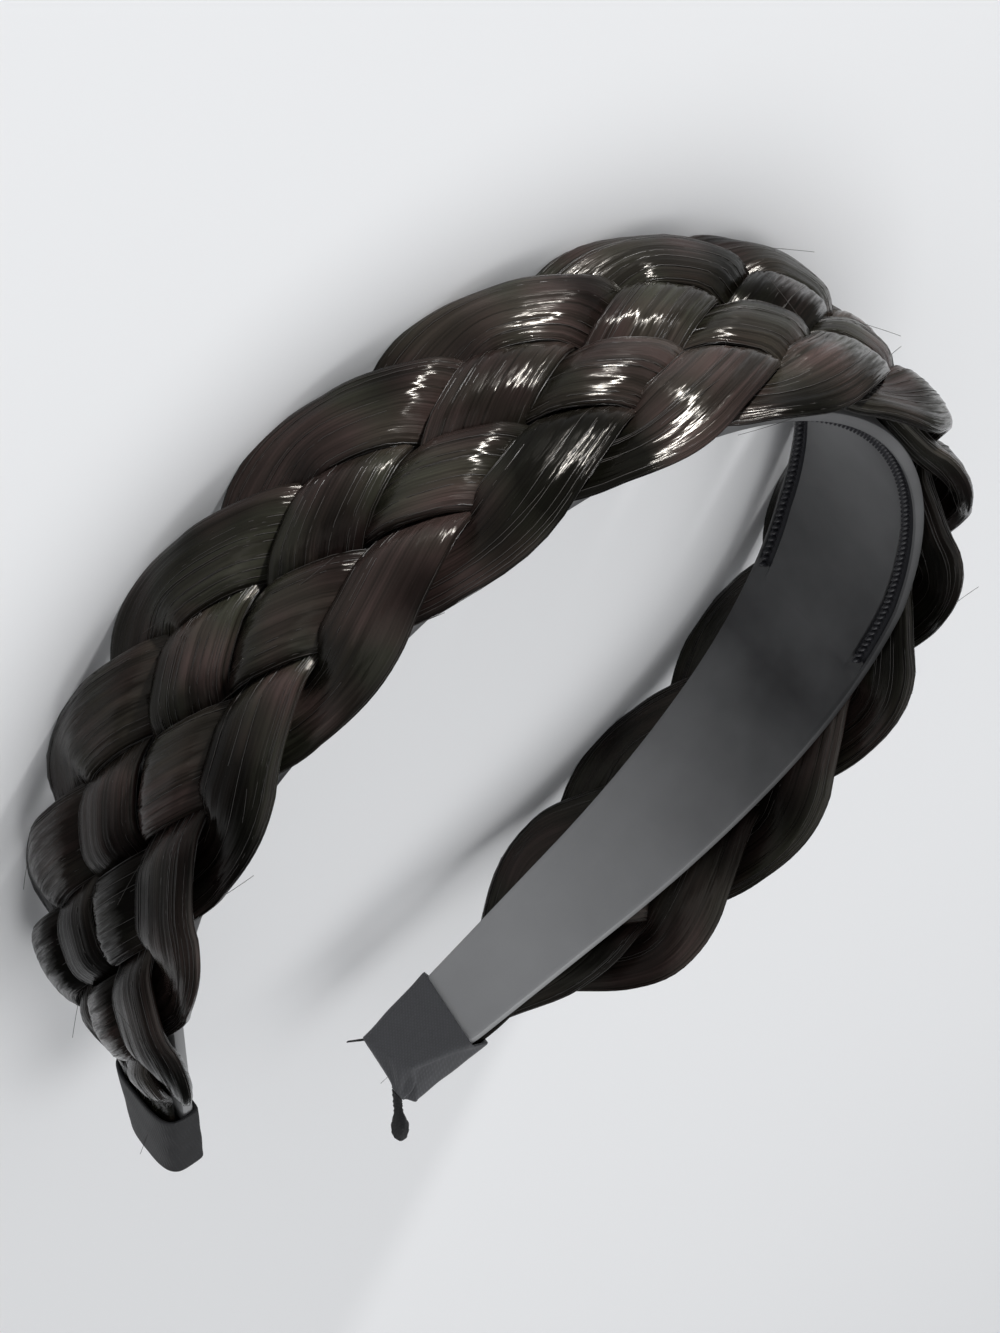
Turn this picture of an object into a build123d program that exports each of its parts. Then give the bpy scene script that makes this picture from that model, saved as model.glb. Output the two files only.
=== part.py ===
from build123d import *
import math
import os

# Braided hair headband, lying on its side as it rests by itself.
# X runs from ear to ear, +Y points to the crown and Z runs across the band's width.
# A place on the headband is given by its run (signed length along the band's inner face
# from the crown), how far it is out from that face, and how far it is across, towards +Z.

# Plastic band, half of its length from crown to tip: two arcs, with angles in degrees, and a straight arm
crown_radius = 60.0
crown_angle = 106.0
shoulder_radius = 93.0
shoulder_angle = 19.0
arm_run = 41.0
band_wall = 1.8
band_crown_width = 26.6
band_tip_width = 10.6
full_width_run = 75.0
band_step = 8.0
bend_blend = 14.0

# Comb teeth along both edges of the inner face
comb_run = 87.0
tooth_pitch = 2.4
tooth_height = 1.7
tooth_root = 0.35
tooth_width = 1.2
tooth_inset = 1.0

# Plait of thick strands, each passing over one and under one
strand_count = 5
lobe_pitch = 23.1
strand_swing = 12.9
turn_sharpness = 0.9
turn_quickness = 3.0
strand_thickness = 3.6
strand_gap = 0.5
strand_fill = 0.87
layer_gap = 0.3
crossing_rise = 1.12
seat_gap = 0.3
first_edge = 11.5
thinning_start = 139.0
thin_share = 0.3
strand_end_inset = 4.0
stations_per_crossing = 3

# Cloth sleeve over each tip: the left one is folded in, the right one gathered to a tied tail
sleeve_length = 15.5
sleeve_wall = 1.0
sleeve_slack = 0.4
sleeve_sides = 20
flat_side_squareness = 0.8
strand_side_squareness = 0.4
folded_length = 2.6
folded_size = 3.0
gathered_length = 1.8
gathered_size = 2.6
gathered_drop = 4.2

# Tied tail of the right sleeve, which hangs towards the front edge, with its angle in degrees
tail_gap = 0.3
tail_length = 5.4
tail_lean = 65.0
tail_turn_share = 0.3
tail_diameter = 2.6
tail_sides = 10

crown_run = crown_radius * math.radians(crown_angle)
shoulder_run = shoulder_radius * math.radians(shoulder_angle)
band_half = crown_run + shoulder_run + arm_run
thin_end = band_half - sleeve_length
strand_end = band_half - strand_end_inset
crossing_pitch = lobe_pitch / 2


def clamp(value, low, high):
    return max(low, min(high, value))


def ease(share):
    share = clamp(share, 0.0, 1.0)
    return share * share * (3 - 2 * share)


def band_line(run):
    """Point on the band's inner face at mid width, and the direction out from it."""
    side = -1.0 if run < 0 else 1.0
    on_crown = clamp(abs(run), 0.0, crown_run)
    on_shoulder = clamp(abs(run) - crown_run, 0.0, shoulder_run)
    on_arm = max(0.0, abs(run) - crown_run - shoulder_run)
    crown_turn = on_crown / crown_radius
    turn = crown_turn + on_shoulder / shoulder_radius
    x = crown_radius * math.sin(crown_turn)
    y = crown_radius * (math.cos(crown_turn) - 1)
    x += shoulder_radius * (math.sin(turn) - math.sin(crown_turn)) + on_arm * math.cos(turn)
    y += shoulder_radius * (math.cos(turn) - math.cos(crown_turn)) - on_arm * math.sin(turn)
    return side * x, y, side * math.sin(turn), math.cos(turn)


def spot(run, out, across):
    x, y, out_x, out_y = band_line(run)
    return Vector(x + out_x * out, y + out_y * out, across)


def stretch(run, out):
    """How much longer a line is at this distance out than on the inner face."""
    past_crown = clamp((abs(run) - crown_run + bend_blend) / (2 * bend_blend), 0.0, 1.0)
    past_shoulder = clamp((abs(run) - crown_run - shoulder_run + bend_blend) / (2 * bend_blend), 0.0, 1.0)
    bend = (1 - past_crown) / crown_radius + (past_crown - past_shoulder) / shoulder_radius
    return 1 + out * bend


def closed_skin(rings, start_tip=None, end_tip=None):
    """Closed faceted solid through rings of points, each end fanned to a tip or its middle."""
    faces = []
    count = len(rings[0])

    def triangle(a, b, c):
        faces.append(Face(Wire.make_polygon([a, b, c], close=True)))

    for near, far in zip(rings, rings[1:]):
        for i in range(count):
            j = (i + 1) % count
            triangle(near[i], near[j], far[i])
            triangle(near[j], far[j], far[i])
    start = start_tip or sum(rings[0], Vector()) / count
    end = end_tip or sum(rings[-1], Vector()) / count
    for i in range(count):
        j = (i + 1) % count
        triangle(rings[0][j], rings[0][i], start)
        triangle(rings[-1][i], rings[-1][j], end)
    solid = Solid(Shell(faces))
    return -solid if solid.volume < 0 else solid


# Plastic band with its comb teeth

def band_half_width(run):
    share = clamp((abs(run) - full_width_run) / (band_half - full_width_run), 0.0, 1.0)
    return (band_crown_width + (band_tip_width - band_crown_width) * share) / 2


def band_section(run, tooth):
    edge = band_half_width(run)
    outer = edge - tooth_inset
    inner = outer - tooth_width
    tip = (outer + inner) / 2
    line = [(0, -edge), (0, -outer), (-tooth, -tip), (0, -inner), (0, inner), (-tooth, tip), (0, outer),
            (0, edge), (band_wall, edge), (band_wall, -edge)]
    return [spot(run, out, across) for out, across in line]


def make_band():
    teeth = int(comb_run // tooth_pitch)
    comb_end = teeth * tooth_pitch
    plain_steps = math.ceil((band_half - comb_end) / band_step)
    plain = [comb_end + (band_half - comb_end) * i / plain_steps for i in range(1, plain_steps + 1)]
    rings = [band_section(-run, 0.0) for run in reversed(plain)]
    rings.append(band_section(-comb_end, 0.0))
    for tooth in range(-teeth, teeth):
        rings.append(band_section((tooth + 0.5) * tooth_pitch, tooth_height))
        root = tooth_root if tooth < teeth - 1 else 0.0
        rings.append(band_section((tooth + 1) * tooth_pitch, root))
    rings += [band_section(run, 0.0) for run in plain]
    return closed_skin(rings)


# Strands of the plait. A strand's place is counted in crossings since it left the back edge.

strand_outline = [
    # wide, thick
    (-1.00, 0.00),
    (-0.66, 0.73),
    (0.00, 1.00),
    (0.66, 0.73),
    (1.00, 0.00),
    (0.66, -0.73),
    (0.00, -1.00),
    (-0.66, -0.73),
]


def thinning(run):
    """Share of the plait's full size, falling to the thin end inside the sleeve."""
    return 1 + (thin_share - 1) * ease((abs(run) - thinning_start) / (thin_end - thinning_start))


def layer_rise(run):
    """How far a strand's middle stands from the plait's middle where it crosses another."""
    return (strand_thickness * thinning(run) * crossing_rise + layer_gap) / 2


def layer_middle(run):
    return band_wall + seat_gap + strand_thickness * thinning(run) / 2 + layer_rise(run)


def swing_share(crossings):
    """-1 at the back edge, 1 at the front edge, nearly straight between them."""
    angle = math.pi * (crossings / strand_count - 0.5)
    return math.asin(turn_sharpness * math.sin(angle)) / math.asin(turn_sharpness)


def strand_slope(crossings, run):
    """Angle between the strand and the band's length."""
    near = 0.01
    climb = (swing_share(crossings + near) - swing_share(crossings - near)) / (2 * near)
    along = crossing_pitch * stretch(run, layer_middle(run))
    return math.atan(climb * strand_swing * thinning(run) / along)


def strand_half_width(run):
    """Half of the room between two neighbours that run the same way, less the gap."""
    room = lobe_pitch * stretch(run, layer_middle(run)) * math.sin(strand_slope(strand_count / 2, run))
    return (room - strand_gap) * strand_fill / 2


def lift_share(crossings):
    """-1 where the strand passes under, 1 where it passes over, 0 where it turns at an edge."""
    half_turn, passed = divmod(crossings, strand_count)
    first = 1 if strand_count % 2 or half_turn % 2 == 0 else -1
    if passed < 1:
        level = first * math.sin(math.pi * passed / 2)
    elif passed > strand_count - 1:
        last = first * math.cos(math.pi * strand_count)
        level = last * math.cos(math.pi * (passed - strand_count + 1) / 2)
    else:
        level = first * math.cos(math.pi * (passed - 1))
    return math.sin(math.pi / 2 * level)


def strand_section(strand, run):
    """Lens-shaped ring whose points rise and dip along the strands that they cross."""
    crossings = (run - first_edge) / crossing_pitch - 2 * strand
    across = strand_swing * thinning(run) * swing_share(crossings)
    slope = strand_slope(crossings, run)
    half_wide = strand_half_width(run)
    half_thick = strand_thickness * thinning(run) / 2
    rise = layer_rise(run)
    heading = clamp(math.sin(math.pi * crossings / strand_count) * turn_quickness, -1.0, 1.0)
    lean = heading * math.cos(2 * slope) / 2
    ring = []
    for wide, thick in strand_outline:
        point_run = run - wide * half_wide * math.sin(slope) / stretch(run, layer_middle(run))
        point_across = across + wide * half_wide * math.cos(slope)
        lift = rise * lift_share(crossings + wide * lean) + half_thick * thick
        ring.append(spot(point_run, layer_middle(run) + lift, point_across))
    return ring


def make_strand(strand):
    step = crossing_pitch / stations_per_crossing
    first = math.ceil((-strand_end - first_edge) / step)
    last = math.floor((strand_end - first_edge) / step)
    stations = [first_edge + i * step for i in range(first, last + 1)]
    return closed_skin([strand_section(strand, run) for run in [-strand_end, *stations, strand_end]])


# Cloth sleeves over the tips. Each end closes from the sleeve's own size to its closed size.

folded_end = [
    # along, closed
    (0.00, 0.00),
    (0.45, 0.10),
    (0.80, 0.38),
    (1.00, 1.00),
]
gathered_end = [
    # along, closed
    (0.00, 0.00),
    (0.30, 0.16),
    (0.60, 0.48),
    (0.82, 0.82),
    (1.00, 1.00),
]


def bundle_height(run):
    """Height of both layers of strands above the band's outer face."""
    return 2 * (layer_middle(run) - band_wall) - seat_gap


def sleeve_ring(side, run, wide, low, high, closed=0.0, closed_half=0.0, drop=0.0):
    """Ring that is square round the band and rounded over the strands, closing to a round one."""
    centre = band_wall + closed * bundle_height(strand_end) / 2
    wide += (closed_half - wide) * closed
    low += (closed_half - low) * closed
    high += (closed_half - high) * closed
    ring = []
    for i in range(sleeve_sides):
        angle = 2 * math.pi * i / sleeve_sides
        rise = math.sin(angle)
        squareness = strand_side_squareness if rise > 0 else flat_side_squareness
        power = 1 - squareness * (1 - closed)
        across = wide * math.copysign(abs(math.cos(angle)) ** power, math.cos(angle))
        out = (high if rise > 0 else low) * math.copysign(abs(rise) ** power, rise)
        ring.append(spot(side * run, centre + out, side * (across + drop * closed)))
    return ring


def sleeve_size(run, grown):
    return band_half_width(run) + grown, band_wall + grown, bundle_height(run) + grown


def make_sleeve(side, end_sections, end_length, end_size, end_drop=0.0):
    mouth = band_half - sleeve_length
    deep = band_half + sleeve_slack
    outer = sleeve_slack + sleeve_wall
    rings = [sleeve_ring(side, deep, *sleeve_size(band_half, sleeve_slack))]
    rings.append(sleeve_ring(side, mouth, *sleeve_size(mouth, sleeve_slack)))
    rings.append(sleeve_ring(side, mouth, *sleeve_size(mouth, outer)))
    for along, closed in end_sections:
        size = sleeve_size(band_half, outer)
        rings.append(sleeve_ring(side, deep + along * end_length, *size, closed, end_size / 2, end_drop))
    return closed_skin(rings)


# Tied tail: a thin neck that swells to a drop, leaning away from the band's length

tail_sections = [
    # along, wide
    (0.00, 0.75),
    (0.12, 0.55),
    (0.30, 0.46),
    (0.42, 0.58),
    (0.62, 0.96),
    (0.80, 1.00),
    (0.93, 0.72),
]


def make_tail(side):
    start = band_half + sleeve_slack + gathered_length + tail_gap
    centre = band_wall + bundle_height(strand_end) / 2
    rings = []
    lean = math.radians(tail_lean)
    for along, wide in [*tail_sections, (1.0, 0.0)]:
        radius = tail_diameter / 2 * wide
        turn = lean * clamp(along / tail_turn_share, 0.0, 1.0)
        ring = []
        for i in range(tail_sides):
            angle = 2 * math.pi * i / tail_sides
            beside = radius * math.cos(angle)
            run = start + along * tail_length * math.cos(lean) - beside * math.sin(turn)
            across = gathered_drop + along * tail_length * math.sin(lean) + beside * math.cos(turn)
            ring.append(spot(side * run, centre + radius * math.sin(angle), side * across))
        rings.append(ring)
    return closed_skin(rings[:-1], end_tip=rings[-1][0])


def main():
    pieces = {"plastic_band": make_band()}
    for strand in range(strand_count):
        pieces[f"strand_{strand + 1}"] = make_strand(strand)
    pieces["left_end_sleeve"] = make_sleeve(-1, folded_end, folded_length, folded_size)
    pieces["right_end_sleeve"] = make_sleeve(
        1, gathered_end, gathered_length, gathered_size, gathered_drop
    )
    pieces["right_tied_tail"] = make_tail(1)

    # The origin stands under the middle of the whole headband, on the surface that it lies on.
    boxes = [piece.bounding_box() for piece in pieces.values()]
    low = [min(tuple(box.min)[i] for box in boxes) for i in range(3)]
    high = [max(tuple(box.max)[i] for box in boxes) for i in range(3)]
    to_origin = Location((-(low[0] + high[0]) / 2, -(low[1] + high[1]) / 2, -low[2]))

    os.makedirs("parts", exist_ok=True)
    for name, piece in pieces.items():
        export_step(piece.moved(to_origin), f"parts/{name}.step")
        print(name, "valid", piece.is_valid, "volume", round(piece.volume, 1))
    print("size", [round(high[i] - low[i], 2) for i in range(3)], "moved by", to_origin.position)


main()
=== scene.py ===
import math
import bpy
import numpy as np
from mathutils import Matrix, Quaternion, Vector


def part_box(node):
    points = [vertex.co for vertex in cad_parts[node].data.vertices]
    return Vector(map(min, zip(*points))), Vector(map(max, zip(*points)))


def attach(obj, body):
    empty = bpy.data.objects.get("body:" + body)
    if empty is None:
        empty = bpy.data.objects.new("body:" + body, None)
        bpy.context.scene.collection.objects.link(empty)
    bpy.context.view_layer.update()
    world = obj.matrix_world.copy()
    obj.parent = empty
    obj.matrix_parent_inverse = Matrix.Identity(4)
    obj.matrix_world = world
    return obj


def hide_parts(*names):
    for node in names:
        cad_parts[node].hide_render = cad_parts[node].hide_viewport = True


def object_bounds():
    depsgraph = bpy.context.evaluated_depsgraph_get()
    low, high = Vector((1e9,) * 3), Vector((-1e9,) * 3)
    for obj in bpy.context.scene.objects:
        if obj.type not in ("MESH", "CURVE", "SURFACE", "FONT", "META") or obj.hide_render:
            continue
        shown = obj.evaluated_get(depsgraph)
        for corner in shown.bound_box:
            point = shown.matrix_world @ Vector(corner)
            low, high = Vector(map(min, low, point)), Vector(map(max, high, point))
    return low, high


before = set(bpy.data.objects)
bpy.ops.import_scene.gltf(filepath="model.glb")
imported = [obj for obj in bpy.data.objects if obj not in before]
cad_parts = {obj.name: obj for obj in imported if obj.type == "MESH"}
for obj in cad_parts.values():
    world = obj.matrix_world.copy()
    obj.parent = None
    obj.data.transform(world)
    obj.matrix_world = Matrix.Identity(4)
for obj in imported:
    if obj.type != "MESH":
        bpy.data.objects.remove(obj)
cadBox = [list(corner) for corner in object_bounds()]

# A braided hair headband lying on its side, in metres.
# Run is the length along the band's inner face from the crown, out is away from that face,
# and across is along the band's width, towards +Z.

# Camera at the photograph's angle to the headband

view = {
    "place": (-0.44993, 0.32472, 0.28583),
    "target": (-0.00067, 0.00995, 0.01345),
    "roll": 137.45,  # degrees, because the photograph holds the headband upright
    "lens": 121.53,
    "filmHeight": 36.0,
    "nearest": 0.01,
}


def makeCamera():
    camera = bpy.data.objects.new("camera", bpy.data.cameras.new("camera"))
    bpy.context.scene.collection.objects.link(camera)
    place, target = Vector(view["place"]), Vector(view["target"])
    level = (target - place).to_track_quat("-Z", "Y")
    camera.rotation_mode = "QUATERNION"
    camera.rotation_quaternion = level @ Quaternion((0, 0, 1), math.radians(view["roll"]))
    camera.location = place
    camera.data.sensor_fit = "VERTICAL"
    camera.data.sensor_height = view["filmHeight"]
    camera.data.lens = view["lens"]
    camera.data.clip_start = view["nearest"]
    bpy.context.scene.camera = camera


makeCamera()
print("camera placed")

# The band's line, shared by every piece that sits on it

band = {
    "crownRadius": 0.0600,
    "crownAngle": 106.0,
    "shoulderRadius": 0.0930,
    "shoulderAngle": 19.0,
    "armRun": 0.0410,
    "wall": 0.0018,
    "crownWidth": 0.0266,
    "tipWidth": 0.0106,
    "fullWidthRun": 0.0750,
    "bendBlend": 0.0140,
    "combRun": 0.0864,
    "combInset": 0.0005,  # from the band's edge to the groove that the teeth stand in
    "combWidth": 0.0026,
    "combDepth": 0.0004,
    "combLip": 0.0003,
    "combFade": 0.004,  # the run in which the groove ends
    "edgeRound": 0.0005,
    "edgeCut": 0.3,  # how far the rounded edge's middle is cut back, as a share of edgeRound
    "sharpAngle": 32.0,
    "tipInset": 0.0020,  # inside the sleeves the tips are rounded
    "tipRound": 0.0130,
    "tipPower": 0.7,
    "tipLeast": 0.15,  # share of the width that is left at the very tip
    "ringStep": 0.0010,
}
crownRun = band["crownRadius"] * math.radians(band["crownAngle"])
shoulderRun = band["shoulderRadius"] * math.radians(band["shoulderAngle"])
bandHalf = crownRun + shoulderRun + band["armRun"]
bandLow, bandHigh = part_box("plastic_band")
crownPlace = Vector(((bandLow.x + bandHigh.x) / 2, bandHigh.y - band["wall"], (bandLow.z + bandHigh.z) / 2))
fullTurn = 6.28  # random phases lie within one turn


def ease(share):
    share = np.clip(share, 0, 1)
    return share * share * (3 - 2 * share)


def placeOn(run, out, across):  # arrays of run, out and across, as points in the frame
    run, out, across = np.broadcast_arrays(run, out, across)
    side = np.where(run < 0, -1.0, 1.0)
    length = np.abs(run)
    crownTurn = np.minimum(length, crownRun) / band["crownRadius"]
    turn = crownTurn + np.clip(length - crownRun, 0, shoulderRun) / band["shoulderRadius"]
    arm = np.maximum(0, length - crownRun - shoulderRun)
    x = band["crownRadius"] * np.sin(crownTurn)
    x = x + band["shoulderRadius"] * (np.sin(turn) - np.sin(crownTurn)) + arm * np.cos(turn)
    y = band["crownRadius"] * (np.cos(crownTurn) - 1)
    y = y + band["shoulderRadius"] * (np.cos(turn) - np.cos(crownTurn)) - arm * np.sin(turn)
    points = np.stack([side * (x + np.sin(turn) * out), y + np.cos(turn) * out, across], axis=-1)
    return points + np.array(crownPlace)


def stretchAt(run, out):
    blend = band["bendBlend"]
    pastCrown = np.clip((np.abs(run) - crownRun + blend) / (2 * blend), 0, 1)
    pastShoulder = np.clip((np.abs(run) - crownRun - shoulderRun + blend) / (2 * blend), 0, 1)
    bend = (1 - pastCrown) / band["crownRadius"] + (pastCrown - pastShoulder) / band["shoulderRadius"]
    return 1 + out * bend


def halfWidthAt(run):
    share = np.clip((np.abs(run) - band["fullWidthRun"]) / (bandHalf - band["fullWidthRun"]), 0, 1)
    return (band["crownWidth"] + (band["tipWidth"] - band["crownWidth"]) * share) / 2


def anglesAround(sides):
    return 2 * math.pi * np.arange(sides) / sides


def skin(name, rings, material, vectors=None):  # closed mesh through rings of points
    rows, sides = rings.shape[:2]
    points = np.vstack([rings.reshape(-1, 3), rings[0].mean(axis=0), rings[-1].mean(axis=0)])
    i, j = np.meshgrid(np.arange(rows - 1), np.arange(sides), indexing="ij")
    k = (j + 1) % sides
    quads = np.stack([i * sides + j, i * sides + k, (i + 1) * sides + k, (i + 1) * sides + j], axis=-1)
    quads = quads.reshape(-1, 4)
    middle = rings[rows // 2].mean(axis=0)
    a, b, c = rings[rows // 2, 0], rings[rows // 2, 1], rings[rows // 2 + 1, 0]
    inward = np.dot(np.cross(b - a, c - a), a - middle) < 0
    u, v = j.reshape(-1) / sides, i.reshape(-1) / (rows - 1)
    du, dv = 1 / sides, 1 / (rows - 1)
    maps = np.stack([np.stack([u, v], -1), np.stack([u + du, v], -1), np.stack([u + du, v + dv], -1),
                     np.stack([u, v + dv], -1)], axis=1)
    if inward:
        quads, maps = quads[:, ::-1], maps[:, ::-1]
    faces, last = quads.tolist(), (rows - 1) * sides
    for s in range(sides):  # a fan of triangles closes each end
        t = (s + 1) % sides
        start, end = [s, t, rows * sides], [last + t, last + s, rows * sides + 1]
        faces += [start, end] if inward else [start[::-1], end[::-1]]
    uv = np.vstack([maps.reshape(-1, 2), np.tile([[0.5, 0.0]] * 3 + [[0.5, 1.0]] * 3, (sides, 1))])
    mesh = bpy.data.meshes.new(name)
    mesh.from_pydata(points.tolist(), [], faces)
    layer = mesh.uv_layers.new(name="around_along")
    layer.data.foreach_set("uv", uv.astype(np.float32).ravel())
    for label, values in (vectors or {}).items():
        values = np.vstack([values.reshape(-1, 3), values[0, 0], values[-1, 0]])
        attribute = mesh.attributes.new(label, "FLOAT_VECTOR", "POINT")
        attribute.data.foreach_set("vector", values.astype(np.float32).ravel())
    mesh.polygons.foreach_set("use_smooth", np.ones(len(mesh.polygons), bool))
    mesh.materials.append(material)
    piece = bpy.data.objects.new(name, mesh)
    bpy.context.scene.collection.objects.link(piece)
    return piece


# Short calls that build node trees


def addNode(tree, kind, values=None, **settings):
    node = tree.nodes.new(kind)
    for key, value in settings.items():
        setattr(node, key, value)
    for key, value in (values or {}).items():
        feed(tree, node.inputs[key], value)
    return node


def feed(tree, socket, value):  # another node's output, or a plain value
    if isinstance(value, bpy.types.NodeSocket):
        tree.links.new(value, socket)
    else:
        socket.default_value = value


class Tree:  # a Geometry Nodes tree with named inputs
    def __init__(self, name, inputs):
        self.tree = bpy.data.node_groups.new(name, "GeometryNodeTree")
        face = self.tree.interface
        face.new_socket("Geometry", in_out="INPUT", socket_type="NodeSocketGeometry")
        face.new_socket("Geometry", in_out="OUTPUT", socket_type="NodeSocketGeometry")
        kinds = {int: "NodeSocketInt", float: "NodeSocketFloat", bpy.types.Material: "NodeSocketMaterial"}
        self.keys = {}
        for label, kind in inputs.items():
            self.keys[label] = face.new_socket(label, in_out="INPUT", socket_type=kinds[kind]).identifier
        self.input = self.tree.nodes.new("NodeGroupInput").outputs

    def add(self, kind, values=None, **settings):
        return addNode(self.tree, kind, values, **settings)

    def math(self, operation, *values):
        return self.add("ShaderNodeMath", dict(enumerate(values)), operation=operation).outputs[0]

    def attribute(self, name, kind="FLOAT_VECTOR"):
        return self.add("GeometryNodeInputNamedAttribute", {"Name": name}, data_type=kind).outputs["Attribute"]

    def random(self, low, high, seed):
        node = self.add("FunctionNodeRandomValue", data_type="FLOAT")
        for socket, value in ((node.inputs[2], low), (node.inputs[3], high), (node.inputs[8], seed)):
            feed(self.tree, socket, value)
        return node.outputs[1]

    def store(self, geometry, name, value):
        values = {"Geometry": geometry, "Name": name, "Value": value}
        return self.add("GeometryNodeStoreNamedAttribute", values, data_type="FLOAT", domain="POINT").outputs[0]

    def tubes(self, curves, radius, sides):
        circle = self.add("GeometryNodeCurvePrimitiveCircle", {"Resolution": sides, "Radius": radius})
        values = {"Curve": curves, "Profile Curve": circle.outputs[0], "Fill Caps": True}
        return self.add("GeometryNodeCurveToMesh", values).outputs[0]

    def finish(self, geometry, material):
        smooth = self.add("GeometryNodeSetShadeSmooth", {"Geometry": geometry}).outputs[0]
        real = self.add("GeometryNodeRealizeInstances", {"Geometry": smooth}).outputs[0]
        done = self.add("GeometryNodeSetMaterial", {"Geometry": real, "Material": material}).outputs[0]
        self.tree.links.new(done, self.tree.nodes.new("NodeGroupOutput").inputs[0])


def grow(name, source, tree, values):  # what the tree makes of the source mesh
    carrier = bpy.data.objects.new(name, source)
    bpy.context.scene.collection.objects.link(carrier)
    modifier = carrier.modifiers.new("pattern", "NODES")
    modifier.node_group = tree.tree
    for label, value in values.items():
        modifier[tree.keys[label]] = value
    bpy.context.view_layer.update()
    evaluated = carrier.evaluated_get(bpy.context.evaluated_depsgraph_get())
    mesh = bpy.data.meshes.new_from_object(evaluated)
    carrier.modifiers.remove(modifier)
    carrier.data = mesh
    mesh.name = name
    return carrier


# Materials


class Nodes:  # a material with short calls to add and join its nodes
    def __init__(self, name):
        self.material = bpy.data.materials.new(name)
        self.material.use_nodes = True
        self.tree = self.material.node_tree
        self.shader = self.tree.nodes["Principled BSDF"]

    def add(self, kind, values=None, **settings):
        return addNode(self.tree, kind, values, **settings)

    def put(self, socket, value):
        feed(self.tree, self.shader.inputs[socket], value)

    def scaled(self, source, scale):
        return self.add("ShaderNodeMapping", {"Vector": source, "Scale": scale}).outputs["Vector"]

    def noise(self, vector, scale=1.0, detail=2.0, roughness=0.5):
        values = {"Vector": vector, "Scale": scale, "Detail": detail, "Roughness": roughness}
        return self.add("ShaderNodeTexNoise", values).outputs["Fac"]

    def math(self, operation, a, b, clamp=False):
        return self.add("ShaderNodeMath", {0: a, 1: b}, operation=operation, use_clamp=clamp).outputs[0]

    def vector(self, operation, a, b=None, scale=None):
        values = {key: value for key, value in ((0, a), (1, b), ("Scale", scale)) if value is not None}
        return self.add("ShaderNodeVectorMath", values, operation=operation).outputs[0]

    def spread(self, value, low, high, between=(0.0, 1.0)):  # from low to high, between two values
        settings = {"Value": value, "From Min": between[0], "From Max": between[1], "To Min": low, "To Max": high}
        return self.add("ShaderNodeMapRange", settings).outputs["Result"]

    def ramp(self, factor, stops):
        node = self.add("ShaderNodeValToRGB", {"Fac": factor})
        steps = node.color_ramp.elements
        while len(steps) < len(stops):
            steps.new(0.5)
        for element, (position, colour) in zip(steps, stops):
            element.position = position
            element.color = (*colour, 1)
        return node.outputs["Color"]

    def edge(self, factor, low, high):  # black below low, white above high
        return self.ramp(factor, [(low, (0, 0, 0)), (high, (1, 1, 1))])

    def blendColours(self, factor, a, b):
        node = self.add("ShaderNodeMix", data_type="RGBA")
        a, b = ((*value, 1) if isinstance(value, tuple) else value for value in (a, b))
        for socket, value in ((node.inputs[0], factor), (node.inputs[6], a), (node.inputs[7], b)):
            feed(self.tree, socket, value)
        return node.outputs[2]

    def relief(self, height, strength, distance):
        values = {"Height": height, "Strength": strength, "Distance": distance}
        return self.add("ShaderNodeBump", values).outputs["Normal"]


hairLook = {
    "darkColour": (0.0026, 0.0021, 0.0015),
    "purpleColour": (0.0165, 0.0108, 0.0098),
    "greenColour": (0.0082, 0.0083, 0.0058),
    "tintPatches": 75.0,
    "tintEdge": (0.40, 0.60),
    "shadePatches": 52.0,
    "shadeEdge": (0.36, 0.64),
    "paintedLightShare": (0.30, 2.0),  # how far patches of hair are darker and paler, as painted light and shade on the strands
    "glossShare": (0.16, 0.46),
    "streakEdge": (0.38, 0.64),
    "fibresAround": 110.0,
    "fibresAlong": 5.0,
    "locksAround": 26.0,
    "locksAlong": 5.0,
    "jagsAround": 45.0,
    "jagsAlong": 40.0,
    "jagTilt": 0.95,
    "fibreRelief": 0.00005,
    "lockRelief": 0.00016,
    "roughness": (0.14, 0.26),
    "stretchedGloss": 0.88,
    "glossTint": (1.0, 0.94, 0.86),
    "ior": 1.30,
}


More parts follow.
